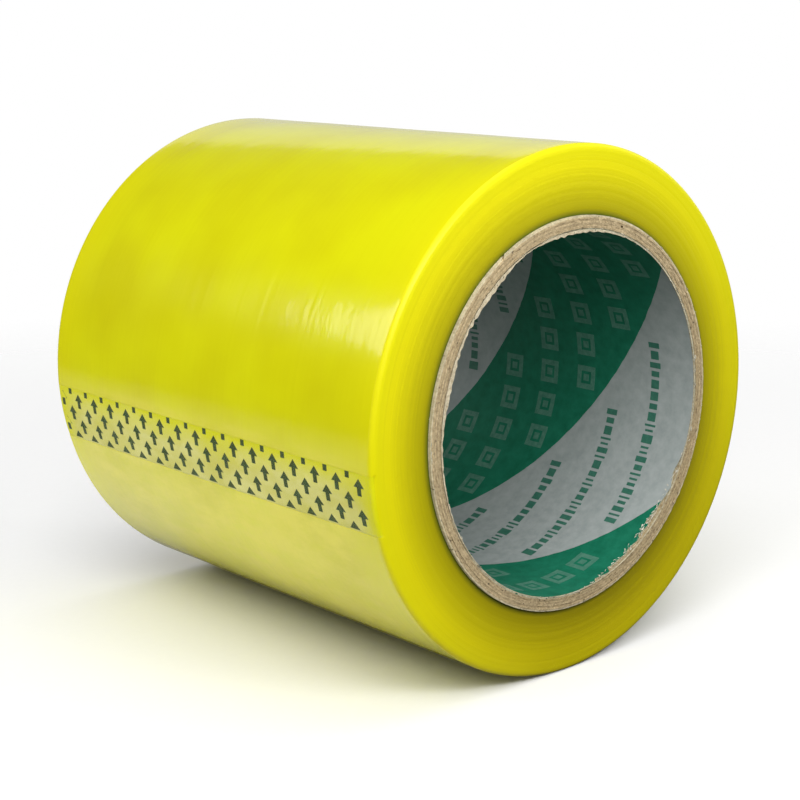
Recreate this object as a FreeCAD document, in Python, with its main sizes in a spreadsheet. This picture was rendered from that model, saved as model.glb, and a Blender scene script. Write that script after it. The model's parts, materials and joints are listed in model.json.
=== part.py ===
import FreeCAD, Part
import math
import os

import Sketcher

# A roll of carton-sealing tape on a spiral-wound paper core, lying on its curved side.
# The roll's axis is Y, Z is up, and the origin is on the axis at mid-width.
# Angles about the axis are measured in the XZ plane, from +X towards +Z.

doc = FreeCAD.newDocument("TapeRoll")
ORIGIN = FreeCAD.Vector(0, 0, 0)
UP_FROM_X = FreeCAD.Vector(0, -1, 0)  # turning about -Y carries +X towards +Z


# ---------------------------------------------------------------- driving dimensions

SIZES = [
    ("roll_width", 110, "width of the slit roll"),
    ("outer_radius", 55.3, "outermost lap of the tape"),
    ("bore_radius", 38, "inside of the three-inch paper core"),
    ("ply_count", 8, "paper strips wound into the core"),
    ("ply_thickness", 0.375, "one strip of core board"),
    ("core_overhang", 0.75, "how far the core stands out of the tape at each end"),
    ("helix_lead", 171, "axial advance of one turn of a paper strip"),
    ("seam_gap", 0.5, "gap between a strip's edges, along the axis"),
    ("liner_seam_angle", 242, "where the printed liner's seam meets the near end"),
    ("seam_stagger", 137, "turn from one strip's seam to the next"),
    ("lap_step", 0.35, "height of the step at the tape's end"),
    ("film_thickness", 0.12, "film of the free end, with its adhesive"),
    ("strip_thickness", 0.08, "printed lift strip under the free end"),
    ("bond_angle", 183, "line where the free end stops lifting"),
    ("tab_angle", 13.2, "free end from the bond line to its cut edge"),
    ("hinge_gap_angle", 0.2, "clearance beside the bond line"),
]

sheet = doc.addObject("Spreadsheet::Sheet", "Dimensions")
for row, (alias, value, meaning) in enumerate(SIZES, start=1):
    sheet.set(f"A{row}", meaning)
    sheet.set(f"B{row}", str(value))
    sheet.setAlias(f"B{row}", alias)
doc.recompute()

GROWTH_ARCS = 4     # the outermost lap is drawn as this many tangent arcs
HELIX_MARGIN = 4    # the seam cutter starts and ends this far outside the core
CUTTER_MARGIN = 0.2  # and reaches this far past both faces of the ply


# ---------------------------------------------------------------- helpers

def origin_feature(body, role):
    """An origin plane or axis of a body, found by its role."""
    for feature in body.Origin.OriginFeatures:
        if feature.Role == role:
            return feature
    raise LookupError(role)


def new_body(label):
    body = doc.addObject("PartDesign::Body", label)
    body.Label = label
    return body


def new_sketch(body, name, role):
    """A sketch on one of the body's own origin planes."""
    sketch = body.newObject("Sketcher::SketchObject", name)
    sketch.AttachmentSupport = (origin_feature(body, role), "")
    sketch.MapMode = "FlatFace"
    return sketch


def add_named(sketch, name, expression, *arguments):
    """Add a dimension to a sketch and bind it to the spreadsheet."""
    sketch.addConstraint(Sketcher.Constraint(*arguments))
    sketch.renameConstraint(len(sketch.Constraints) - 1, name)
    sketch.setExpression(f"Constraints.{name}", expression)


def add_circle(sketch, name, expression, radius):
    """A circle about the roll's axis."""
    circle = sketch.addGeometry(Part.Circle(ORIGIN, FreeCAD.Vector(0, 0, 1), radius), False)
    sketch.addConstraint(Sketcher.Constraint("Coincident", circle, 3, -1, 1))
    add_named(sketch, name, expression, "Radius", circle, radius)


def arc(centre, radius, start, end):
    """An arc in a sketch, its angles in radians."""
    circle = Part.Circle(centre, FreeCAD.Vector(0, 0, 1), radius)
    return Part.ArcOfCircle(circle, start, end)


def polar(radius, angle):
    return FreeCAD.Vector(radius * math.cos(angle), radius * math.sin(angle), 0)


def pad_across(body, sketch, length):
    """Pad a section along the roll's axis, equally to both sides of mid-width."""
    pad = body.newObject("PartDesign::Pad", f"{body.Label}_pad")
    pad.Profile = sketch
    pad.Midplane = True
    pad.setExpression("Length", length)
    sketch.Visibility = False


def turn_about_axis(body, expression):
    """Turn a body about the roll's axis by a formula in degrees."""
    body.Placement = FreeCAD.Placement(ORIGIN, FreeCAD.Rotation(UP_FROM_X, 1))
    body.setExpression("Placement.Rotation.Angle", f"({expression}) * 1 deg")


# ---------------------------------------------------------------- paper core

CORE_LENGTH = "Dimensions.roll_width + 2 * Dimensions.core_overhang"


def core_ply(label, index):
    """One paper strip of the core: a thin tube, slit along the strip's helical seam."""
    inner = f"Dimensions.bore_radius + {index} * Dimensions.ply_thickness"
    outer = f"Dimensions.bore_radius + {index + 1} * Dimensions.ply_thickness"
    inner_radius = sheet.bore_radius + index * sheet.ply_thickness
    outer_radius = inner_radius + sheet.ply_thickness
    core_length = sheet.roll_width + 2 * sheet.core_overhang

    body = new_body(label)
    section = new_sketch(body, f"{label}_section", "XZ_Plane")
    add_circle(section, "inner", inner, inner_radius)
    add_circle(section, "outer", outer, outer_radius)
    pad_across(body, section, CORE_LENGTH)

    seam = new_sketch(body, f"{label}_seam", "XY_Plane")
    start = -core_length / 2 - HELIX_MARGIN
    corners = [
        FreeCAD.Vector(inner_radius - CUTTER_MARGIN, start, 0),
        FreeCAD.Vector(outer_radius + CUTTER_MARGIN, start, 0),
        FreeCAD.Vector(outer_radius + CUTTER_MARGIN, start + sheet.seam_gap, 0),
        FreeCAD.Vector(inner_radius - CUTTER_MARGIN, start + sheet.seam_gap, 0),
    ]
    for a, b in zip(corners, corners[1:] + corners[:1]):
        seam.addGeometry(Part.LineSegment(a, b), False)
    for side in range(4):
        seam.addConstraint(Sketcher.Constraint("Coincident", side, 2, (side + 1) % 4, 1))
    for side in (0, 2):
        seam.addConstraint(Sketcher.Constraint("Horizontal", side))
        seam.addConstraint(Sketcher.Constraint("Vertical", side + 1))
    add_named(seam, "gap", "Dimensions.seam_gap", "DistanceY", 1, 1, 1, 2, sheet.seam_gap)
    add_named(seam, "near_side", f"{inner} - {CUTTER_MARGIN}",
              "DistanceX", -1, 1, 0, 1, corners[0].x)
    add_named(seam, "far_side", f"{outer} + {CUTTER_MARGIN}",
              "DistanceX", -1, 1, 0, 2, corners[1].x)
    add_named(seam, "start", f"({CORE_LENGTH}) / 2 + {HELIX_MARGIN}",
              "DistanceY", 0, 1, -1, 1, -start)
    doc.recompute()

    slit = body.newObject("PartDesign::SubtractiveHelix", f"{label}_slit")
    slit.Profile = seam
    slit.ReferenceAxis = (origin_feature(body, "Y_Axis"), [""])
    slit.Mode = "pitch-height-angle"
    slit.setExpression("Pitch", "Dimensions.helix_lead")
    slit.setExpression("Height", f"{CORE_LENGTH} + {2 * HELIX_MARGIN}")
    seam.Visibility = False
    lead_in = f"360 * ({HELIX_MARGIN} + Dimensions.core_overhang) / Dimensions.helix_lead"
    seam_angle = f"Dimensions.liner_seam_angle + {index} * Dimensions.seam_stagger"
    turn_about_axis(body, f"mod({seam_angle} + {lead_in}; 360)")
    return body


def ply_labels():
    """From the printed liner in the bore to the pale strip under the tape."""
    count = int(sheet.ply_count)
    middle = [f"core_ply_{number}" for number in range(1, count - 1)]
    return ["core_liner"] + middle + ["core_outer_ply"]


# ---------------------------------------------------------------- wound tape

def tape_winding():
    """All laps of the tape, with the step where the outermost one ends.

    The outer profile starts at the bond line. It runs under the free end, and then
    climbs by one step in tangent arcs, each with a slightly larger radius.
    """
    label = "tape_winding"
    floor_radius = sheet.outer_radius - sheet.lap_step
    tab = math.radians(sheet.tab_angle)
    span = (2 * math.pi - tab) / GROWTH_ARCS
    # Each arc's centre moves back from the joint by the rise, so the last arc ends at
    # the outer radius when the rises, seen along the end's direction, add up to the step.
    travel = GROWTH_ARCS - 1 - sum(math.cos(span * k) for k in range(1, GROWTH_ARCS))
    span_degrees = f"(360 - Dimensions.tab_angle) / {GROWTH_ARCS} * 1 deg"

    body = new_body(label)
    section = new_sketch(body, f"{label}_section", "XZ_Plane")
    core_radius = sheet.bore_radius + sheet.ply_count * sheet.ply_thickness
    add_circle(section, "core", "Dimensions.bore_radius + Dimensions.ply_count * "
               "Dimensions.ply_thickness", core_radius)

    floor = section.addGeometry(arc(ORIGIN, floor_radius, 0, tab), False)
    section.addConstraint(Sketcher.Constraint("Coincident", floor, 3, -1, 1))
    add_named(section, "floor", "Dimensions.outer_radius - Dimensions.lap_step",
              "Radius", floor, floor_radius)
    add_named(section, "tab", "Dimensions.tab_angle * 1 deg", "Angle", floor, tab)

    rise = sheet.lap_step / travel
    centre, radius, angle, previous = ORIGIN, floor_radius, tab, floor
    for number in range(GROWTH_ARCS):
        if number > 0:
            centre = centre - polar(rise, angle)
            radius = radius + rise
        piece = section.addGeometry(arc(centre, radius, angle, angle + span), False)
        if number == 0:
            section.addConstraint(Sketcher.Constraint("Coincident", piece, 1, previous, 2))
            section.addConstraint(Sketcher.Constraint("Coincident", piece, 3, -1, 1))
        else:
            section.addConstraint(Sketcher.Constraint("Tangent", previous, 2, piece, 1))
            growth = f"{number} * Dimensions.lap_step / {travel}"
            add_named(section, f"lap_{number}", "Dimensions.outer_radius - "
                      f"Dimensions.lap_step + {growth}", "Radius", piece, radius)
        if number < GROWTH_ARCS - 1:
            add_named(section, f"span_{number}", span_degrees, "Angle", piece, span)
        angle = angle + span
        previous = piece

    end = centre + polar(radius, angle)
    step = section.addGeometry(Part.LineSegment(end, polar(floor_radius, 0)), False)
    section.addConstraint(Sketcher.Constraint("Coincident", step, 1, previous, 2))
    section.addConstraint(Sketcher.Constraint("Coincident", step, 2, floor, 1))
    section.addConstraint(Sketcher.Constraint("PointOnObject", step, 1, -1))
    section.addConstraint(Sketcher.Constraint("PointOnObject", step, 2, -1))

    pad_across(body, section, "Dimensions.roll_width")
    turn_about_axis(body, "Dimensions.bond_angle")
    return body


def end_layer(label, depth, thickness):
    """A curved layer of the liftable end, from its outer face's depth inwards."""
    outer = f"Dimensions.outer_radius - {depth}"
    inner = f"{outer} - {thickness}"
    outer_radius = sheet.outer_radius
    inner_radius = outer_radius - sheet.strip_thickness
    sweep = math.radians(sheet.tab_angle - sheet.hinge_gap_angle)

    body = new_body(label)
    section = new_sketch(body, f"{label}_section", "XZ_Plane")
    outside = section.addGeometry(arc(ORIGIN, outer_radius, 0, sweep), False)
    inside = section.addGeometry(arc(ORIGIN, inner_radius, 0, sweep), False)
    bond_side = section.addGeometry(
        Part.LineSegment(polar(inner_radius, 0), polar(outer_radius, 0)), False)
    cut_side = section.addGeometry(
        Part.LineSegment(polar(inner_radius, sweep), polar(outer_radius, sweep)), False)
    for curve in (outside, inside):
        section.addConstraint(Sketcher.Constraint("Coincident", curve, 3, -1, 1))
    for line, end in ((bond_side, 1), (cut_side, 2)):
        section.addConstraint(Sketcher.Constraint("Coincident", line, 1, inside, end))
        section.addConstraint(Sketcher.Constraint("Coincident", line, 2, outside, end))
    section.addConstraint(Sketcher.Constraint("PointOnObject", bond_side, 1, -1))
    section.addConstraint(Sketcher.Constraint("PointOnObject", bond_side, 2, -1))
    section.addConstraint(Sketcher.Constraint("PointOnObject", -1, 1, cut_side))
    add_named(section, "sweep", "(Dimensions.tab_angle - Dimensions.hinge_gap_angle) * 1 deg",
              "Angle", outside, sweep)
    add_named(section, "outer", outer, "Radius", outside, outer_radius)
    add_named(section, "inner", inner, "Radius", inside, inner_radius)

    pad_across(body, section, "Dimensions.roll_width")
    turn_about_axis(body, "Dimensions.bond_angle + Dimensions.hinge_gap_angle")
    return body


# ---------------------------------------------------------------- build and export

pieces = [core_ply(label, index) for index, label in enumerate(ply_labels())]
pieces.append(tape_winding())
pieces.append(end_layer("tape_free_end", "0", "Dimensions.film_thickness"))
pieces.append(end_layer("arrow_strip", "Dimensions.film_thickness",
                        "Dimensions.strip_thickness"))
doc.recompute()

for item in doc.Objects:
    if {"Invalid", "Error"} & set(item.State):
        raise RuntimeError(f"{item.Label} failed to build: {item.State}")
for piece in pieces:
    if piece.Shape.isNull() or not piece.Shape.isValid():
        raise RuntimeError(f"{piece.Label} has no valid shape")

os.makedirs("parts", exist_ok=True)
for piece in pieces:
    piece.Shape.exportStep(f"parts/{piece.Label}.step")
    print(f"{piece.Label}: {piece.Shape.Volume:.1f} mm3")
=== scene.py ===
import json
import math
import random

import bmesh
import bpy
import numpy as np
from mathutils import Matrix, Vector

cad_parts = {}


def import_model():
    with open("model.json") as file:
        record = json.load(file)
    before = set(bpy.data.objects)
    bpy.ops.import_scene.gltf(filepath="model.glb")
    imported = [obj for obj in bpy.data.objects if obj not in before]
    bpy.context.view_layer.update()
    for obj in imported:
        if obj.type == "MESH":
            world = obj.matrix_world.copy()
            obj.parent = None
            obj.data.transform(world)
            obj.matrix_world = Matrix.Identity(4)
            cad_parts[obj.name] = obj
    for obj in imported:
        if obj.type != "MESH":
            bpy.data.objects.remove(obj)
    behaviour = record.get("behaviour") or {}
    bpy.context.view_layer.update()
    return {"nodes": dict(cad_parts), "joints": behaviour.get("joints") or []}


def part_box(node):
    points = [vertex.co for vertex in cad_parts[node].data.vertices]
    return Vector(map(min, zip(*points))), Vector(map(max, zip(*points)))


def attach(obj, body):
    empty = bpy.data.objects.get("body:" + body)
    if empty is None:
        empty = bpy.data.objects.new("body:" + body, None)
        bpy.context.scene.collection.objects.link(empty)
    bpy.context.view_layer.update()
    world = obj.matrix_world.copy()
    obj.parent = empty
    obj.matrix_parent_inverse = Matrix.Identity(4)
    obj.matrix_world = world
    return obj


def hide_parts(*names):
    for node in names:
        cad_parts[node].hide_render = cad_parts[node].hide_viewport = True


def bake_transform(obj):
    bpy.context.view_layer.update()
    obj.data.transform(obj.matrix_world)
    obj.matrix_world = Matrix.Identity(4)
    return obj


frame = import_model()

# A roll of yellow carton-sealing tape on a spiral-wound paper core. The roll's axis is Y,
# and angles about it are measured in the XZ plane, from +X towards +Z. Lengths are metres.

MM = 0.001
ROLL = "roll"


# ---------------------------------------------------------------- sizes from the frame

def radii(node):
    """Least and greatest distance of a CAD node's corners from the roll's axis."""
    away = [math.hypot(v.co.x, v.co.z) for v in frame["nodes"][node].data.vertices]
    return min(away), max(away)


hinge = frame["joints"][0]["pos_m"]
OUTER = math.hypot(hinge[0], hinge[2])
BOND = math.atan2(hinge[2], hinge[0]) % math.tau
CUT = max(math.atan2(v.co.z, v.co.x) % math.tau
          for v in frame["nodes"]["tape_free_end"].data.vertices)
BORE = radii("core_liner")[0]
CORE = radii("core_outer_ply")[1]
HALF_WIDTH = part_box("tape_winding")[1].y
HALF_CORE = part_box("core_liner")[1].y
PLIES = ["core_liner"] + [f"core_ply_{k}" for k in range(1, 7)] + ["core_outer_ply"]
LAST_PLY = len(PLIES) - 1
PLY = (CORE - BORE) / len(PLIES)

LEAD = 171 * MM                     # axial advance of one turn of a paper strip
TWIST = math.tau / LEAD             # how fast a strip's seam turns along the axis
SEAM = math.radians(242)            # the liner's seam at the near face of the roll
SEAM_STAGGER = math.radians(137)    # from one strip's seam to the next
SEAM_GAP = 0.5 * MM                 # between a strip's edges, along the axis
LAP_STEP = 0.20 * MM                # how far the laps step down under the free end


# ---------------------------------------------------------------- mesh helpers

def around(radius, angle, y):
    """Points about the roll's axis, as an array whose last axis is x, y, z."""
    radius, angle, y = np.broadcast_arrays(radius, angle, y)
    return np.stack([radius * np.cos(angle), y, radius * np.sin(angle)], axis=-1)


def ripples(seed, turns, waves):
    """A smooth, repeatable unevenness of about one unit over angle and width."""
    rng = random.Random(seed)
    terms = [(rng.randint(*turns), rng.uniform(*waves), rng.uniform(0, math.tau))
             for _ in range(7)]

    def height(angle, y):
        total = 0
        for turn, wave, phase in terms:
            total = total + np.sin(turn * angle + math.tau * y / wave + phase)
        return total / len(terms)

    return height


def face_outwards(mesh):
    """Turn the faces of a closed mesh over if they look inwards."""
    solid = bmesh.new()
    solid.from_mesh(mesh)
    inside_out = len(solid.faces) > 1 and solid.calc_volume(signed=True) < 0
    solid.free()
    if inside_out:
        mesh.flip_normals()


def new_object(name, vertices, faces, materials, uv=None, face_slots=None, sharp=35):
    """A smooth-shaded mesh object, with edges sharper than sharp degrees kept sharp."""
    mesh = bpy.data.meshes.new(name)
    mesh.from_pydata(np.asarray(vertices, float).reshape(-1, 3).tolist(), [], faces)
    face_outwards(mesh)
    for item in materials:
        mesh.materials.append(item)
    if face_slots is not None:
        mesh.polygons.foreach_set("material_index", face_slots)
    mesh.polygons.foreach_set("use_smooth", [True] * len(mesh.polygons))
    if uv is not None:
        corners = np.empty(len(mesh.loops), int)
        mesh.loops.foreach_get("vertex_index", corners)
        layer = mesh.uv_layers.new(name="place")
        layer.data.foreach_set("uv", np.asarray(uv, float).reshape(-1, 2)[corners].ravel())
    mesh.set_sharp_from_angle(angle=math.radians(sharp))
    obj = bpy.data.objects.new(name, mesh)
    bpy.context.scene.collection.objects.link(obj)
    return obj


def swept(name, sections, materials, closed, uv=None, slot_of=None, sharp=35):
    """A solid skin over successive section loops, each loop with the same point count.

    An open sweep is capped by joining each point to the one opposite it in its loop.
    slot_of gives the material of the faces that start at each point of a loop.
    """
    count, around_loop = sections.shape[:2]
    faces = []
    slots = []
    for i in range(count if closed else count - 1):
        k = (i + 1) % count
        for j in range(around_loop):
            n = (j + 1) % around_loop
            faces.append((i * around_loop + j, i * around_loop + n,
                          k * around_loop + n, k * around_loop + j))
            slots.append(slot_of[j] if slot_of else 0)
    if not closed:
        for base, order in ((0, 1), ((count - 1) * around_loop, -1)):
            for j in range(around_loop // 2 - 1):
                quad = (base + j, base + around_loop - 1 - j,
                        base + around_loop - 2 - j, base + j + 1)
                faces.append(quad[::order])
                slots.append(0)
    return new_object(name, sections, faces, materials, uv, slots, sharp)


def add_piece(vertices, faces, corners, tiles):
    """Add one small closed piece to the lists of a mesh made of many."""
    base = len(vertices)
    vertices += corners
    faces += [tuple(base + k for k in tile) for tile in tiles]


def place_on_roll(obj, slot, *nodes):
    """Let a piece ride on the roll, in place of the CAD nodes that it stands for."""
    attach(obj, ROLL)
    if nodes:
        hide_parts(*nodes)


# ---------------------------------------------------------------- material helpers

class Shader:
    """A Principled material with short ways to add and join nodes."""

    def __init__(self, name, **values):
        self.material = bpy.data.materials.new(name)
        self.material.use_nodes = True
        self.tree = self.material.node_tree
        self.bsdf = self.tree.nodes["Principled BSDF"]
        for socket, value in values.items():
            self.bsdf.inputs[socket.replace("_", " ")].default_value = value

    def node(self, kind, links=None, **settings):
        """Add a node, with links to its inputs and settings of its own."""
        item = self.tree.nodes.new(kind)
        for key, value in settings.items():
            setattr(item, key, value)
        for socket, value in (links or {}).items():
            self.feed(item.inputs[socket], value)
        return item

    def feed(self, socket, value):
        """Link a socket to another one, or give it a plain value."""
        if isinstance(value, bpy.types.NodeSocket):
            self.tree.links.new(value, socket)
        else:
            socket.default_value = value

    def set(self, socket, value):
        self.feed(self.bsdf.inputs[socket], value)

    def math(self, operation, a, b=0.0, c=0.0):
        return self.node("ShaderNodeMath", {0: a, 1: b, 2: c}, operation=operation).outputs[0]

    def ramp(self, value, stops, interpolation="LINEAR"):
        """Colours at positions from 0 to 1."""
        item = self.node("ShaderNodeValToRGB", {"Fac": value})
        bar = item.color_ramp
        bar.interpolation = interpolation
        while len(bar.elements) < len(stops):
            bar.elements.new(0.5)
        for element, (position, colour) in zip(bar.elements, stops):
            element.position = position
            if isinstance(colour, (int, float)):
                colour = (colour, colour, colour)
            element.color = (*colour, 1)
        return item.outputs["Color"]

    def mix(self, fac, a, b, blend="MIX"):
        item = self.node("ShaderNodeMix", data_type="RGBA", blend_type=blend)
        self.feed(item.inputs["Factor"], fac)
        for socket, value in (("A", a), ("B", b)):
            target = next(s for s in item.inputs if s.name == socket and s.type == "RGBA")
            self.feed(target, (*value, 1) if isinstance(value, tuple) else value)
        return next(s for s in item.outputs if s.type == "RGBA")

    def object_point(self, scale=(1, 1, 1)):
        point = self.node("ShaderNodeTexCoord").outputs["Object"]
        return self.node("ShaderNodeMapping", {"Vector": point, "Scale": scale}).outputs[0]

    def place_uv(self):
        """The two numbers that a swept piece stores for each of its corners."""
        point = self.node("ShaderNodeUVMap", uv_map="place").outputs[0]
        item = self.node("ShaderNodeSeparateXYZ", {0: point})
        return item.outputs[0], item.outputs[1]

    def noise(self, vector, scale, detail=3.0, rough=0.5):
        item = self.node("ShaderNodeTexNoise", {"Vector": vector, "Scale": scale,
                                                "Detail": detail, "Roughness": rough})
        return item.outputs["Fac"]

    def bump(self, height, distance, strength=1.0, below=None):
        links = {"Height": height, "Distance": distance, "Strength": strength}
        if below is not None:
            links["Normal"] = below
        return self.node("ShaderNodeBump", links).outputs[0]


YELLOW = (0.76, 0.75, 0.0)
DEEP_YELLOW = (0.69, 0.65, 0.0)
# Pale tone of the painted reflection of the white floor on the roll's lower side.
PAINTED_REFLECTION = (0.84, 0.77, 0.045)
EDGE_YELLOW = (0.77, 0.735, 0.0)


def tape_side_material():
    """Glossy film over many laps: yellow, with pale blotchy patches on the lower side past the free
    end that are a painted reflection of the white floor.
    """
    sh = Shader("tape_side", Roughness=0.2, IOR=1.5, Specular_IOR_Level=0.26, Coat_Weight=0.6,
                Coat_Roughness=0.06, Coat_IOR=1.5, Subsurface_Weight=0.12, Subsurface_Scale=0.004)
    sh.set("Subsurface Radius", (1.0, 0.9, 0.1))
    point = sh.object_point()
    turn, across = sh.place_uv()
    tone = sh.ramp(sh.noise(point, 38, 2), [(0.35, DEEP_YELLOW), (0.62, YELLOW)])
    # Painted reflection: pale blotches from the bond line round towards the bottom, fading out near
    # the rims.
    zone = sh.ramp(turn, [(0.0, 0.95), (0.17, 0.8), (0.28, 0.0), (0.991, 0.0), (0.995, 0.6)])
    blotch = sh.ramp(sh.noise(sh.object_point((1, 0.45, 1)), 150, 6, 0.7),
                     [(0.38, 0.1), (0.60, 1.0)])
    inside = sh.ramp(across, [(0.80, 1.0), (0.96, 0.0)])
    painted_reflection = sh.math("MULTIPLY", sh.math("MULTIPLY", zone, blotch), inside)
    tone = sh.mix(inside, EDGE_YELLOW, tone)
    sh.set("Base Color", sh.mix(painted_reflection, tone, PAINTED_REFLECTION))
    sh.set("Roughness", sh.math("MULTIPLY_ADD", sh.noise(point, 60, 3), 0.16, 0.14))
    long_waves = sh.bump(sh.noise(sh.object_point((1, 0.35, 1)), 55, 2), 0.0004, 0.35)
    streaks = sh.noise(sh.object_point((0.12, 5, 0.12)), 180, 3)
    sh.set("Normal", sh.bump(streaks, 0.00011, 0.6, long_waves))
    wrinkles = sh.noise(sh.object_point((0.8, 1.6, 0.8)), 120, 4, 0.6)
    sh.set("Coat Normal", sh.bump(wrinkles, 0.00015, 0.6))
    return sh.material


def tape_end_material():
    """The edges of the laps, in painted light and shade: a glow at the rim, olive towards the core,
    a shadow line against the core and an amber shade low down.
    """
    sh = Shader("tape_end", Roughness=0.38, IOR=1.5, Specular_IOR_Level=0.25,
                Subsurface_Weight=0.12, Subsurface_Scale=0.004)
    sh.set("Subsurface Radius", (1.0, 0.9, 0.1))
    turn, across = sh.place_uv()
    # Painted light and shade: bright at the rim where light comes through the film, olive towards
    # the core, and a dark painted shadow line right against the core.
    base = sh.ramp(across, [(0.0, (0.05, 0.09, 0.003)), (0.03, (0.17, 0.17, 0.002)),
                            (0.10, (0.40, 0.355, 0.0)), (0.4, (0.58, 0.52, 0.0)),
                            (0.75, (0.78, 0.71, 0.0)), (1.0, (0.78, 0.73, 0.0))])
    rings = sh.node("ShaderNodeCombineXYZ", {0: sh.math("MULTIPLY", across, 90.0),
                                             1: sh.math("MULTIPLY", turn, 5.0)}).outputs[0]
    lines = sh.noise(rings, 1.0, 4, 0.65)
    shade = sh.ramp(lines, [(0.3, 0.92), (0.7, 1.0)])
    base = sh.mix(1.0, base, shade, "MULTIPLY")
    # Painted shade: the end face grows darker and more amber towards its bottom.
    mostly_up = (-4.4, 0.0, 12.5)
    rise = sh.node("ShaderNodeVectorMath", {0: sh.object_point(), 1: mostly_up},
                   operation="DOT_PRODUCT").outputs["Value"]
    painted_low_shade = sh.ramp(sh.math("ADD", rise, 0.75),
                    [(0.12, (0.70, 0.65, 0.9)), (0.53, (0.94, 0.92, 1.0)), (0.9, (1, 1, 1))])
    sh.set("Base Color", sh.mix(1.0, base, painted_low_shade, "MULTIPLY"))
    sh.set("Normal", sh.bump(lines, 0.00006, 0.5))
    return sh.material


def clear_film_material():
    """One layer of the film, seen over the printed strip."""
    sh = Shader("clear_film", Roughness=0.16, IOR=1.5)
    _, along = sh.place_uv()
    point = sh.object_point()
    tone = sh.ramp(sh.noise(point, 120, 3), [(0.35, (0.74, 0.70, 0.02)), (0.7, (0.82, 0.79, 0.12))])
    # A paler band along the cut edge, painted to lighten the shade in the groove under it.
    edge = sh.ramp(along, [(0.0, 0.0), (0.96, 0.0), (0.99, 1.0)])
    sh.set("Base Color", sh.mix(edge, tone, (0.84, 0.81, 0.25)))
    sh.set("Alpha", sh.math("MULTIPLY_ADD", edge, 0.05, 0.035))
    sh.set("Normal", sh.bump(sh.noise(sh.object_point((1, 0.4, 1)), 70, 2), 0.0003, 0.4))
    return sh.material


def strip_material():
    """The printed strip's film: pale where it has come loose from the lap below."""
    sh = Shader("strip_film", Roughness=0.3, IOR=1.5, Specular_IOR_Level=0.2)
    across, along = sh.place_uv()
    mottle = sh.noise(sh.object_point((1, 0.5, 1)), 130, 4, 0.6)
    pale = sh.ramp(mottle, [(0.35, (0.68, 0.65, 0.13)), (0.65, (0.80, 0.78, 0.30))])
    loose = sh.math("ADD", along, sh.math("MULTIPLY_ADD", mottle, 0.5, -0.25))
    loose = sh.ramp(loose, [(0.05, 0.0), (0.5, 1.0)])
    inside = sh.ramp(sh.math("ABSOLUTE", across), [(0.9, 1.0), (0.975, 0.0)])
    sh.set("Base Color", sh.mix(sh.math("MULTIPLY", loose, inside), YELLOW, pale))
    return sh.material


def ink_material(name, dark, light, roughness):
    """Ink that is a little uneven, as on paper or film."""
    sh = Shader(name, Roughness=roughness)
    sh.set("Base Color", sh.ramp(sh.noise(sh.object_point(), 900, 4, 0.7),
                                 [(0.35, dark), (0.7, light)]))
    return sh.material


def board_material(name, dark, light, shift):
    """Raw paper board: long fibres, flecks and a rough cut."""
    sh = Shader(name, Roughness=0.85, Specular_IOR_Level=0.2)
    point = sh.object_point((1, 0.5, 1))
    moved = sh.node("ShaderNodeVectorMath", {0: point, 1: (shift, shift, 0)}).outputs[0]
    fibre = sh.noise(moved, 1500, 5, 0.75)
    patch = sh.noise(moved, 260, 4, 0.7)
    fleck = sh.noise(moved, 1300, 0)
    tone = sh.ramp(fibre, [(0.3, dark), (0.6, light)])
    shade = sh.ramp(patch, [(0.3, 0.72), (0.62, 1.0)])
    tone = sh.mix(1.0, tone, shade, "MULTIPLY")
    sh.set("Base Color", sh.mix(1.0, tone, sh.ramp(fleck, [(0.20, 0.3), (0.24, 1.0)]), "MULTIPLY"))
    sh.set("Normal", sh.bump(fibre, 0.00015, 0.8))
    return sh.material


# Printed bands of the liner, as shares of a turn from its seam.
GREEN_BANDS = [(0.455, 0.674), (0.0, 0.219), (0.910, 1.0)]
WHITE_BANDS = [(0.674, 0.910), (0.219, 0.455)]


def liner_material():
    """Paper printed with green and white bands that run along the wound strip."""
    sh = Shader("liner_print", Roughness=0.55, Specular_IOR_Level=0.2)
    turn, _ = sh.place_uv()
    point = sh.object_point()
    worn = sh.noise(point, 420, 4, 0.6)
    wobble = sh.math("MULTIPLY_ADD", sh.noise(point, 300, 2), 0.003, -0.0015)
    green = sh.ramp(worn, [(0.3, (0.004, 0.135, 0.072)), (0.7, (0.012, 0.195, 0.11))])
    white = sh.ramp(worn, [(0.3, (0.31, 0.345, 0.335)), (0.7, (0.40, 0.43, 0.42))])
    stops = [(low, 0.0) for low, _ in GREEN_BANDS] + [(low, 1.0) for low, _ in WHITE_BANDS]
    band = sh.ramp(sh.math("ADD", turn, wobble), sorted(stops), "CONSTANT")
    sh.set("Base Color", sh.mix(band, green, white))
    sh.set("Normal", sh.bump(sh.noise(point, 1200, 4), 0.00005, 0.4))
    return sh.material


# ---------------------------------------------------------------- the wound tape

RIM = 1.0 * MM        # softness of the slit edge
GROOVE = 0.15 * MM    # how far the cut edge of the free end sinks into the lap below
CALM = 8 * MM         # the laps lie flat this near to the free end
LAP_RIPPLE = ripples(3, (1, 6), (24 * MM, 70 * MM))
FINE_RIPPLE = ripples(8, (9, 26), (9 * MM, 24 * MM))


def lap_radius(angle):
    """Outer radius from the bond line on: the pocket, then one slow step outwards."""
    share = np.clip((angle - CUT) / (BOND + math.tau - CUT), 0, 1)
    sunk = np.where(angle > CUT, 0.0, GROOVE * ((angle - BOND) / (CUT - BOND)) ** 2)
    return OUTER - LAP_STEP * (1 - share) - sunk


def end_face(rings):
    """How far out each ring of an end face lies: a little dished and uneven."""
    rng = random.Random(21)
    uneven = np.array([rng.uniform(-1, 1) for _ in rings]) * 0.03 * MM
    uneven[0] = uneven[-1] = 0
    return HALF_WIDTH + uneven - 0.12 * MM * np.sin(math.pi * rings)


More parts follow.
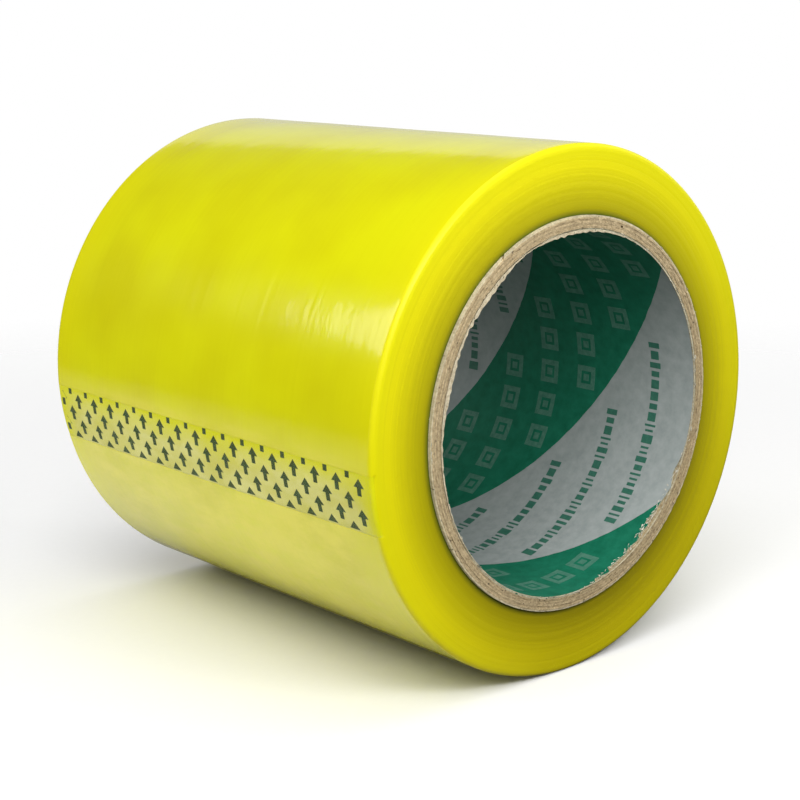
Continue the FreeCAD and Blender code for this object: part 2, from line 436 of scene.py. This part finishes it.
def side_face(angle, top, widths):
    """Radius of the curved side at one angle: rippled, but calm at the rims and the tab."""
    from_tab = min(max(angle - CUT, 0), BOND + math.tau - angle) * OUTER
    calm = (1 - widths ** 8) * min(from_tab / CALM, 1)
    wavy = LAP_RIPPLE(angle, widths * HALF_WIDTH) * 0.035 * MM * calm
    wavy = wavy + FINE_RIPPLE(angle, widths * HALF_WIDTH) * 0.006 * MM * calm
    return np.minimum(top + wavy, OUTER + 0.08 * MM)


def winding():
    """The wound tape, its ends slightly uneven from lap to lap."""
    under_tab = np.linspace(BOND + 0.001, CUT, 24)
    rest = np.linspace(CUT + 0.0003, BOND + math.tau, 520)
    rings = np.linspace(0, 1, 44)
    widths = np.linspace(-1, 1, 56)
    bend = np.linspace(0, math.pi / 2, 9)[1:-1]
    inner = CORE + 0.01 * MM
    end_r = inner + (OUTER - LAP_STEP - GROOVE - RIM - inner) * rings
    end_y = end_face(rings)
    corner_y = HALF_WIDTH - RIM + RIM * np.cos(bend)
    side_y = widths * (HALF_WIDTH - RIM)
    y = np.concatenate([-end_y, -corner_y, side_y, corner_y[::-1], end_y[::-1]])
    across = np.concatenate([rings, np.ones(len(bend)), np.abs(widths),
                             np.ones(len(bend)), rings[::-1]])

    loops, places = [], []
    for angle in np.concatenate([under_tab, rest]):
        top = lap_radius(angle)
        corner_r = top - RIM + RIM * np.sin(bend)
        radius = np.concatenate([end_r, corner_r, side_face(angle, top, widths),
                                 corner_r[::-1], end_r[::-1]])
        loops.append(around(radius, angle, y))
        turn = np.full(len(across), (angle - BOND) / math.tau)
        places.append(np.stack([turn, across], axis=-1))
    side_start = len(rings) + len(bend)
    side = range(side_start, side_start + len(widths) - 1)
    slots = [0 if j in side else 1 for j in range(len(across))]
    piece = swept("wound_tape", np.array(loops), [tape_side_material(), tape_end_material()],
                  True, np.array(places), slots, sharp=50)
    place_on_roll(piece, "tape_film", "tape_winding")


# ---------------------------------------------------------------- the free end

# The two layers' faces, as depths below the outer face of the free end.
FILM_OUT = 0.0
FILM_IN = 0.04 * MM
STRIP_OUT = 0.055 * MM
STRIP_IN = 0.10 * MM

INK = 0.01 * MM                      # thickness of the printed arrows
DROOP = 0.22 * MM                    # how far the free end follows the laps below it
CURL = ripples(5, (1, 3), (30 * MM, 80 * MM))
TAB_LENGTH = OUTER * (CUT - BOND)    # along the curve, from the bond line to the cut
FOLD = 3.5 * MM                      # the bend from the roll to the tab would take this much of it; nothing here bends the film


def tab_point(along, depth, y):
    """A point of the free end: along from the bond line, depth below the outer face."""
    share = along / TAB_LENGTH
    past = np.clip(np.abs(y) - (HALF_WIDTH - RIM), 0, RIM)
    depth = depth + RIM - np.sqrt(RIM ** 2 - past ** 2)
    lift = (0.02 * MM * (1 + 0.7 * CURL(0.0, y)) - DROOP) * share ** 2
    return around(OUTER - depth + lift, BOND + along / OUTER, y)


def bend_with_tab(piece):
    """Bake the piece's place into its mesh. Where it would turn from the roll to the tab, just past
    the bond line, is worked out but not used.
    """
    start = tab_point(0.0, 0.0, 0.0)
    end = tab_point(FOLD, 0.0, 0.0)
    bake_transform(piece)


def tab_layer(name, outside, inside, half_width, reach, material, node):
    """One layer of the free end, from the bond line to its cut edge."""
    flat = HALF_WIDTH - RIM
    corner = np.linspace(flat, half_width, 7)[1:]
    ys = np.concatenate([-corner[::-1], np.linspace(-flat, flat, 110), corner])
    along = np.linspace(0, 1, 26) * reach
    loops, places = [], []
    for y in ys:
        loops.append(np.concatenate([tab_point(along, outside, y),
                                     tab_point(along, inside, y)[::-1]]))
        v = np.concatenate([along, along[::-1]]) / reach
        places.append(np.stack([np.full(len(v), y / half_width), v], axis=-1))
    piece = swept(name, np.array(loops), [material], False, np.array(places))
    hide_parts(node)
    bend_with_tab(piece)


def clip(polygon, low, high):
    """Keep the part of a polygon of (along, across) points with along in a range."""
    for limit, sign in ((low, 1), (high, -1)):
        kept = []
        for a, b in zip(polygon, polygon[1:] + polygon[:1]):
            inside_a = sign * (a[0] - limit) >= 0
            inside_b = sign * (b[0] - limit) >= 0
            if inside_a:
                kept.append(a)
            if inside_a != inside_b:
                share = (limit - a[0]) / (b[0] - a[0])
                kept.append((limit, a[1] + share * (b[1] - a[1])))
        polygon = kept
    return polygon


def arrow_outlines():
    """Staggered rows of arrows that point at the bond line, cut by the strip's edges."""
    pitch = 6.5 * MM
    row_pitch = 3.11 * MM
    tall, head, stem, head_tall = 3.5 * MM, 3.0 * MM, 1.2 * MM, 1.8 * MM
    columns = round(2 * HALF_WIDTH / pitch)
    for row in range(5):
        tip = (row - 0.66) * row_pitch
        for column in range(columns + 1):
            y = -HALF_WIDTH + pitch * (column + 0.1 + 0.5 * (row % 2))
            if abs(y) > HALF_WIDTH - head / 2:
                continue
            triangle = [(tip, y), (tip + head_tall, y + head / 2), (tip + head_tall, y - head / 2)]
            bar = [(tip + head_tall, y + stem / 2), (tip + tall, y + stem / 2),
                   (tip + tall, y - stem / 2), (tip + head_tall, y - stem / 2)]
            for outline in (triangle, bar):
                kept = clip(outline, 0.15 * MM, TAB_LENGTH - 0.35 * MM)
                if len(kept) > 2:
                    yield kept


def printed_arrows():
    """Thin tiles of ink on the strip's outer face, under the film."""
    vertices, faces = [], []
    for outline in arrow_outlines():
        count = len(outline)
        corners = [tab_point(along, depth, y) for depth in (STRIP_OUT, STRIP_OUT - INK)
                   for along, y in outline]
        tiles = [tuple(range(count))[::-1], tuple(range(count, 2 * count))]
        for k in range(count):
            n = (k + 1) % count
            tiles.append((k, n, count + n, count + k))
        add_piece(vertices, faces, corners, tiles)
    ink = ink_material("arrow_ink", (0.0, 0.032, 0.014), (0.001, 0.065, 0.028), 0.7)
    piece = new_object("printed_arrows", vertices, faces, [ink])
    bend_with_tab(piece)


def free_end():
    """The film's last stretch, the strip stuck under it and the strip's arrows."""
    tab_layer("free_end_film", FILM_OUT, FILM_IN, HALF_WIDTH - 0.05 * MM,
              TAB_LENGTH - 0.01 * MM, clear_film_material(), "tape_free_end")
    tab_layer("lift_strip", STRIP_OUT, STRIP_IN, HALF_WIDTH - 0.1 * MM,
              TAB_LENGTH - 0.02 * MM, strip_material(), "arrow_strip")
    printed_arrows()


# ---------------------------------------------------------------- the paper core

# Where the liner is torn back: centre and half span in degrees, and depth.
TORN_AT = -52
TEARS = ((TORN_AT, 36, 1.4 * MM), (150, 75, 0.7 * MM))
GLUE_GAP = 0.006 * MM    # half the gap between two strips of the core


def degrees_from(angle, centre):
    """How far an angle in radians is from a direction in degrees, either way round."""
    return abs((math.degrees(angle) - centre + 180) % 360 - 180)


def torn_back(angle, rag):
    """How far the liner is torn back along the near mouth, with rag from -1 to 1."""
    back = 0.0
    for centre, half_span, depth in TEARS:
        share = degrees_from(angle, centre) / half_span
        back += depth * max(0.0, 1 - share ** 2) * (1 + rag)
    return back


def ply(index, node, materials, steps, slot):
    """One paper strip: a thin tube with a helical butt seam and slightly torn ends."""
    inner = BORE + index * PLY + GLUE_GAP
    outer = BORE + (index + 1) * PLY - GLUE_GAP
    turn = np.linspace(SEAM_GAP * TWIST, math.tau, steps)
    length = np.concatenate([[-1, -0.9965, -0.991], np.linspace(-0.98, 0.98, 64),
                             [0.991, 0.9965, 1]])
    torn = ripples(40 + index, (30, 160), (1, 2))
    long_wave = ripples(60 + index, (2, 7), (1, 2))
    rng = random.Random(80 + index)
    offset = rng.uniform(-0.10, 0.06) * MM
    seam = SEAM + index * SEAM_STAGGER
    loops, places = [], []
    for phi in turn:
        ends = []
        for side in (-1, 1):
            ragged = 0.12 * MM * float(torn(phi, side * 0.3))
            ragged += 0.07 * MM * float(long_wave(phi, side * 0.4))
            if index == 0 and side < 0:
                rag = 1.1 * float(torn(phi * 0.4, 0.2)) + 1.2 * float(long_wave(phi * 6, 0.1))
                ragged -= 0.1 * MM + torn_back(seam + phi, max(-1, min(1, rag)))
            ends.append(HALF_CORE + offset + ragged)
        reach = np.where(length < 0, ends[0], ends[1])
        y = length * reach
        angle = seam - TWIST * (y + HALF_WIDTH) + phi
        loops.append(np.concatenate([around(inner, angle, y), around(outer, angle, y)[::-1]]))
        v = np.concatenate([length, length[::-1]]) / 2 + 0.5
        places.append(np.stack([np.full(len(v), phi / math.tau), v], axis=-1))
    cut_faces = (len(length) - 1, 2 * len(length) - 1)
    slots = [1 if j in cut_faces else 0 for j in range(2 * len(length))]
    piece = swept(f"{node}_paper", np.array(loops), materials, False, np.array(places), slots)
    place_on_roll(piece, slot, node)


def paper_core():
    """The printed liner, six strips of kraft board and the pale strip under the tape."""
    torn = board_material("liner_edge", (0.30, 0.27, 0.17), (0.60, 0.58, 0.42), 12.0)
    ply(0, PLIES[0], [liner_material(), torn], 900, "liner_paper")
    for index in range(1, LAST_PLY):
        shade = 0.88 if index % 2 else 1.04
        dark = tuple(shade * c for c in (0.28, 0.205, 0.105))
        light = tuple(shade * c for c in (0.62, 0.49, 0.29))
        board = board_material(f"kraft_board_{index}", dark, light, index)
        ply(index, PLIES[index], [board, board], 520, "core_board")
    pale = board_material("pale_paper", (0.46, 0.38, 0.23), (0.74, 0.65, 0.44), 9.0)
    ply(LAST_PLY, PLIES[-1], [pale, pale], 520, "pale_paper")


# ---------------------------------------------------------------- print on the liner

ROW_PITCH = 11.5 * MM    # from one row of marks to the next, along the axis
BLOCK_PITCH = 7.9 * MM   # from one square ring to the next, round the bore


def patch(y, angle, wide, tall):
    """A thin curved tile of ink on the liner, as vertices and faces."""
    count = max(2, math.ceil(tall / (1.2 * MM)) + 1)
    angles = angle + np.linspace(-0.5, 0.5, count) * tall / BORE
    corners = []
    for a in angles:
        for depth in (-0.002 * MM, 0.03 * MM):
            for side in (-0.5, 0.5):
                corners.append(around(BORE - depth, a, y + side * wide))
    faces = [(0, 1, 3, 2), tuple(4 * (count - 1) + k for k in (2, 3, 1, 0))]
    for k in range(count - 1):
        low, high = 4 * k, 4 * k + 4
        for a, b in ((0, 1), (1, 3), (3, 2), (2, 0)):
            faces.append((low + b, low + a, high + a, high + b))
    return corners, faces


def marks(name, bands, first, draw, material):
    """Rows of plain marks round the bore, one row each pitch, centred in their band."""
    vertices, faces = [], []
    rows = int(2 * HALF_WIDTH / ROW_PITCH) + 1
    for low, high in bands:
        for row in range(rows):
            y = -HALF_WIDTH + first + row * ROW_PITCH
            if abs(y) > HALF_WIDTH - 3 * MM:
                continue
            middle = SEAM - TWIST * (y + HALF_WIDTH) + math.tau * (high + low) / 2
            room = (high - low) * math.tau * BORE
            for across, along, wide, tall in draw(room, row):
                add_piece(vertices, faces, *patch(y + across, middle + along / BORE, wide, tall))
    piece = new_object(name, vertices, faces, [material])
    place_on_roll(piece, "liner_paper")


def block_row(room, _):
    """Square rings with a dot in the middle."""
    count = int((room - 8 * MM) / BLOCK_PITCH)
    size, line, dot = 5.4 * MM, 1.25 * MM, 1.6 * MM
    reach = (size - line) / 2
    for k in range(count):
        centre = (k - (count - 1) / 2) * BLOCK_PITCH
        for side in (-1, 1):
            yield 0.0, centre + side * reach, size, line
            yield side * reach, centre, line, size - 2 * line
        yield 0.0, centre, dot, dot


def dash_row(room, row):
    """A line of plain ticks of several widths."""
    rng = random.Random(300 + row % 2)
    along = -(room / 2 - 6 * MM)
    while along < room / 2 - 8 * MM:
        tall = rng.choice((0.5, 0.8, 1.3, 2.0)) * MM
        yield 0.0, along + tall / 2, rng.choice((2.2, 3.0)) * MM, tall
        along += tall + 0.7 * MM


def liner_print():
    """Pale marks on the liner's green bands and green ones on its white bands."""
    pale = ink_material("pale_print", (0.045, 0.185, 0.125), (0.10, 0.26, 0.185), 0.6)
    green = ink_material("green_print", (0.03, 0.14, 0.095), (0.05, 0.19, 0.13), 0.5)
    marks("liner_blocks", GREEN_BANDS, 7.8 * MM, block_row, pale)
    marks("liner_dashes", WHITE_BANDS, 10.3 * MM, dash_row, green)


# ---------------------------------------------------------------- torn paper at the ends

def ribbon(spine, across, widths, thick):
    """A thin tapered strip along a spine, with its width along across at each point."""
    spine = np.asarray(spine, float)
    along = np.gradient(spine, axis=0)
    across = np.asarray(across, float) * np.ones_like(spine)
    normal = np.cross(along, across)
    normal /= np.linalg.norm(normal, axis=1)[:, None] + 1e-12
    corners = []
    for centre, a, n, w in zip(spine, across, normal, widths):
        a = a / np.linalg.norm(a) * w / 2
        n = n * thick / 2
        corners += [centre - a - n, centre + a - n, centre + a + n, centre - a + n]
    last = 4 * (len(spine) - 1)
    faces = [(3, 2, 1, 0), (last, last + 1, last + 2, last + 3)]
    for low in range(0, last, 4):
        for j in range(4):
            n = (j + 1) % 4
            faces.append((low + j, low + n, low + 4 + n, low + 4 + j))
    return corners, faces


BURRS = 900
TUFT = range(31, 50)    # the burrs that stand together as one tuft
TUFT_AT = 181           # in degrees round the near mouth


def paper_burrs():
    """Fibres and flakes of paper left round both mouths of the bore.

    Two in three are at the near mouth, and half of those are where the liner is torn.
    """
    rng = random.Random(77)
    vertices, faces = [], []
    for k in range(BURRS):
        side = -1 if k % 3 else 1
        torn_zone = side < 0 and k % 2
        turn = math.radians(rng.gauss(TORN_AT, 17) if torn_zone else rng.uniform(0, 360))
        back = torn_back(turn, rng.uniform(-0.4, 0.6)) if side < 0 else 0.0
        flake = k % 4 == 0 or torn_zone and k % 8 == 5
        layer = 1 if back > 0.5 * MM and not flake else rng.choice((0, 0, 0, 1, LAST_PLY))
        root_r = BORE + layer * PLY + rng.uniform(-0.02, 0.04) * MM
        root_y = HALF_CORE - 0.12 * MM - back
        if layer == LAST_PLY:
            root_r = CORE - rng.uniform(0.05, 0.2) * MM
        reach = rng.uniform(0.25, 0.9) * MM
        if k in TUFT and side < 0:
            turn = math.radians(rng.gauss(TUFT_AT, 1.2))
            layer, root_r, root_y = LAST_PLY, CORE - 0.1 * MM, HALF_CORE - 0.1 * MM
            reach = rng.uniform(0.8, 1.7) * MM
        swing = rng.uniform(-1.0, 1.0)
        out = rng.uniform(-0.9, 0.4) if flake and torn_zone else rng.uniform(0.1, 0.7)
        inward = rng.uniform(-0.1, 0.55) * (1 if layer < LAST_PLY else -0.6)
        if flake and torn_zone:
            inward = rng.uniform(0.06, 0.2)
            root_r = BORE - 0.03 * MM
        curl = rng.uniform(-0.6, 0.6)
        spine = []
        for share in (0.0, 0.33, 0.66, 1.0):
            run = reach * share
            angle = turn + run * (swing + curl * share) / root_r
            spine.append(around(root_r - run * inward * share, angle,
                                side * (root_y + run * out * (1 - 0.4 * share))))
        wide = rng.uniform(0.25, 0.7) * MM if flake else rng.uniform(0.05, 0.1) * MM
        thick = 0.03 * MM if flake else 0.045 * MM
        radial = around(1.0, turn, 0.0)
        hoop = around(1.0, turn + math.pi / 2, 0.0)
        across = hoop * (1.3 - abs(swing)) + (0, swing, 0) if flake else radial
        taper = [wide, wide, wide * 0.7, wide * 0.25]
        add_piece(vertices, faces, *ribbon(spine, across, taper, thick))
    paper = board_material("torn_paper", (0.50, 0.46, 0.35), (0.84, 0.80, 0.68), 4.0)
    piece = new_object("paper_burrs", vertices, faces, [paper])
    place_on_roll(piece, "pale_paper")


def pushed_in(angle):
    """How far the cutter pushed paper into the near mouth, most of all above and left."""
    share = degrees_from(angle, 140) / 78
    return 0.06 * MM + 0.5 * MM * max(0.0, 1 - share ** 2)


def mouth_burrs():
    """A ragged lip of paper round each mouth of the bore."""
    paper = board_material("lip_paper", (0.40, 0.31, 0.18), (0.74, 0.66, 0.47), 7.0)
    for side, name in ((-1, "near_lip"), (1, "far_lip")):
        coarse = ripples(90 + side, (4, 19), (1, 2))
        fine = ripples(95 + side, (40, 150), (1, 2))
        loops = []
        for turn in np.linspace(0, math.tau, 1400, endpoint=False):
            rag = 1 + 1.7 * float(coarse(turn, 0.0)) + 0.6 * float(fine(turn, 0.0))
            lip = max(0.02 * MM, pushed_in(turn) * rag) if side < 0 else 0.07 * MM * max(rag, 0.2)
            back = torn_back(turn, 0.0) if side < 0 else 0.0
            lip *= max(0.15, 1 - back / (1.0 * MM)) if back > 0.75 * MM else 1
            mouth = HALF_CORE - 0.16 * MM
            radius = [BORE + 0.1 * MM, BORE - lip, BORE - lip * 0.94, BORE + 0.02 * MM]
            y = [mouth + 0.06 * MM, mouth + 0.05 * MM, mouth - 0.04 * MM,
                 mouth - 0.25 * MM - 0.5 * lip]
            loops.append(around(np.array(radius), turn, side * np.array(y)))
        piece = swept(name, np.array(loops), [paper], True)
        place_on_roll(piece, "core_board")


# ---------------------------------------------------------------- studio

TARGET = Vector((-3.0, -5.0, -4.7)) * MM
CAMERA_DISTANCE = 387.7 * MM
CAMERA_AZIMUTH = -42.05    # in degrees
CAMERA_HEIGHT = 12.71
FOCAL_LENGTH = 77.5        # on a 36 mm wide frame


def direction(azimuth, height):
    """Unit vector from the roll at two angles in degrees; azimuth 0 is -Y, the near end."""
    azimuth, height = math.radians(azimuth), math.radians(height)
    return Vector((math.sin(azimuth) * math.cos(height),
                   -math.cos(azimuth) * math.cos(height), math.sin(height)))


def aim(obj, place_at, target):
    """Put a camera or light in its place and turn it towards a point."""
    obj.location = place_at
    obj.rotation_euler = (target - place_at).to_track_quat("-Z", "Y").to_euler()


def camera():
    """The camera, ahead of the near end and to its left, a little above the roll."""
    data = bpy.data.cameras.new("camera")
    data.lens = FOCAL_LENGTH
    data.clip_start = 0.01
    obj = bpy.data.objects.new("camera", data)
    bpy.context.scene.collection.objects.link(obj)
    aim(obj, TARGET + direction(CAMERA_AZIMUTH, CAMERA_HEIGHT) * CAMERA_DISTANCE, TARGET)
    bpy.context.scene.camera = obj


def soft_light(name, place_at, target, size, radiance, shape="RECTANGLE"):
    """A soft light that the camera doesn't see, with its size across and up."""
    data = bpy.data.lights.new(name, "AREA")
    data.shape = shape
    data.size, data.size_y = size
    data.energy = radiance * math.pi * size[0] * size[1]
    obj = bpy.data.objects.new(name, data)
    bpy.context.scene.collection.objects.link(obj)
    obj.visible_camera = False
    aim(obj, place_at, target)


def lights():
    """A key from the front left, weak fills and a small light for the near end, a low
    card behind the roll for its top gloss, and a side box for the highlight at its left.
    """
    roll = Vector((0, 0, 0))
    soft_light("key", Vector((-0.75, -0.62, 1.00)), roll, (0.9, 0.9), 4.4)
    soft_light("fill", Vector((0.9, -0.9, 0.45)), roll, (0.8, 0.8), 0.2)
    soft_light("right_fill", Vector((1.0, -0.15, 0.4)), roll, (0.8, 0.8), 1.0)
    soft_light("overhead", Vector((0.1, -0.05, 1.3)), roll, (1.0, 1.0), 1.3)
    soft_light("end_light", Vector((-0.05, -0.22, 0.11)), Vector((-0.02, -0.055, 0.045)),
               (0.12, 0.06), 10.5)
    back = direction(142, 9.5)
    soft_light("back_card", back * 1.0, Vector((0, 0, 0.02)), (0.93, 0.78), 0.57)
    side = direction(216, 22)
    across = side.cross(Vector((0, 0, 1))).normalized()
    centre = side * 0.8 - across * 0.150 + across.cross(side) * 0.080
    soft_light("side_box", centre, roll, (0.24, 0.28), 2.5, "ELLIPSE")


def world():
    """White behind the roll, a grey room for its light and a dark one for its gloss."""
    item = bpy.data.worlds.new("studio")
    bpy.context.scene.world = item
    item.use_nodes = True
    nodes, links = item.node_tree.nodes, item.node_tree.links
    back = nodes["Background"]
    path = nodes.new("ShaderNodeLightPath")
    strength = None
    for ray, value in (("Is Glossy Ray", 0.04), ("Is Camera Ray", 1.0)):
        shade = nodes.new("ShaderNodeMix")
        shade.data_type = "FLOAT"
        shade.inputs[2].default_value = 0.35
        shade.inputs[3].default_value = value
        links.new(path.outputs[ray], shade.inputs[0])
        if strength:
            links.new(strength, shade.inputs[2])
        strength = shade.outputs[0]
    links.new(strength, back.inputs["Strength"])
    back.inputs["Color"].default_value = (1, 1, 1, 1)


def floor():
    """Pale paper that fades into the white background. The camera sees it pale; for bounced and
    reflected light its colour is painted dark, with a bright patch left of and behind the roll.
    """
    half_size = 0.8
    ground = -OUTER + LAP_STEP * 0.78
    sh = Shader("floor_paper", Roughness=0.7, Specular_IOR_Level=0.2)
    point = sh.object_point()
    seen = sh.node("ShaderNodeLightPath").outputs["Is Camera Ray"]
    grain = sh.noise(point, 600, 3)
    spot = sh.node("ShaderNodeSeparateXYZ", {0: point})
    # Painted bounce light: to anything but the camera the floor is dark, but for a bright patch
    # left of and behind the roll.
    left = sh.ramp(sh.math("MULTIPLY", spot.outputs[0], -10.0), [(0.0, 0.0), (0.5, 1.0)])
    behind = sh.ramp(sh.math("MULTIPLY_ADD", spot.outputs[1], 10.0, 1.0), [(0.0, 0.0), (0.6, 1.0)])
    painted_bounce = sh.ramp(sh.math("MULTIPLY", left, behind), [(0.0, 0.08), (1.0, 0.88)])
    sh.set("Base Color", sh.mix(seen, painted_bounce, sh.ramp(grain, [(0, 0.94), (1, 0.97)])))
    away = sh.node("ShaderNodeVectorMath", {0: point}, operation="LENGTH").outputs["Value"]
    sh.set("Alpha", sh.ramp(away, [(0.14, 1.0), (0.42, 0.0)]))
    corners = [(x * half_size, y * half_size, ground)
               for x, y in ((-1, -1), (1, -1), (1, 1), (-1, 1))]
    piece = new_object("studio_floor", corners, [(0, 1, 2, 3)], [sh.material])


bpy.context.scene.view_settings.view_transform = "Standard"
camera()
lights()
world()
floor()
winding()
free_end()
paper_core()
liner_print()
paper_burrs()
mouth_burrs()
